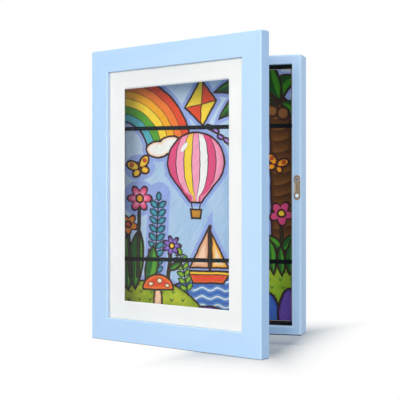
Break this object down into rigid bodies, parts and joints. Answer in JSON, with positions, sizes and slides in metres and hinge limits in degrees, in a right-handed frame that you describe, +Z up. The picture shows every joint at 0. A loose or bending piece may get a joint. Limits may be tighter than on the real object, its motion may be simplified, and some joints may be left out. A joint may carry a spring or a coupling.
{
  "type": "front-opening picture frame",
  "caption": "Wall frame for children's drawings: a glazed, matted door hinged on the left of a shallow case that stores sheets behind elastic bands, shown ajar.",
  "frame": {"origin": "middle of the case's back face, which lies on the wall", "axes": "+Y into the wall, +Z up along the frame's height, +X to the right seen from the front, so the door faces -Y"},
  "size_m": [0.2583, 0.1474, 0.35],
  "materials": {
    "painted_wood": "light blue satin paint on solid wood",
    "hardboard": "brown hardboard, smooth side out",
    "paper": "matt drawing paper",
    "drawing": "matt drawing paper with a marker drawing",
    "black_board": "black paper-faced foam board",
    "elastic": "flat dark navy woven elastic",
    "black_screws": "black lacquered steel",
    "clear_acrylic": "clear polished acrylic",
    "mat_card": "matt white card with a bevelled opening",
    "magnet": "nickel plated magnet",
    "bumper": "clear soft bumper",
    "bronzed_steel": "dull grey-brown plated steel",
    "rivet": "plain aluminium rivet",
    "hinge_steel": "zinc plated steel",
    "plated_steel": "zinc plated steel"
  },
  "bodies": {
    "case": {"case_left_wall": "painted_wood", "case_right_wall": "painted_wood", "case_top_wall": "painted_wood", "case_bottom_wall": "painted_wood", "case_corner_nails": "plated_steel", "back_panel": "hardboard", "back_panel_screws": "plated_steel", "portrait_hanger_plate": "plated_steel", "landscape_hanger_plate": "plated_steel", "hanger_rivets": "rivet", "backing_board": "black_board", "spare_sheets": "paper", "drawing_sheet": "drawing", "upper_elastic_band": "elastic", "lower_elastic_band": "elastic", "band_washers": "black_screws", "band_screws": "black_screws", "catch_plate": "bronzed_steel", "catch_plate_screws": "plated_steel", "upper_hinge_case_leaf": "hinge_steel", "lower_hinge_case_leaf": "hinge_steel", "upper_hinge_case_screws": "hinge_steel", "lower_hinge_case_screws": "hinge_steel", "upper_hinge_pin": "hinge_steel", "lower_hinge_pin": "hinge_steel"},
    "door": {"door_left_rail": "painted_wood", "door_right_rail": "painted_wood", "door_top_rail": "painted_wood", "door_bottom_rail": "painted_wood", "door_corner_nails": "plated_steel", "glazing": "clear_acrylic", "mat_board": "mat_card", "mat_tabs": "plated_steel", "magnet_cup": "plated_steel", "catch_magnet": "magnet", "door_bumpers": "bumper", "upper_hinge_door_leaf": "hinge_steel", "lower_hinge_door_leaf": "hinge_steel", "upper_hinge_door_screws": "hinge_steel", "lower_hinge_door_screws": "hinge_steel"}
  },
  "joints": [
    {"name": "door_hinge", "type": "hinge", "parent": "case", "child": "door", "pos_m": [-0.1231, -0.0285, 0], "axis": [0, 0, -1], "range_deg": [-24.5, 75.5]}
  ]
}
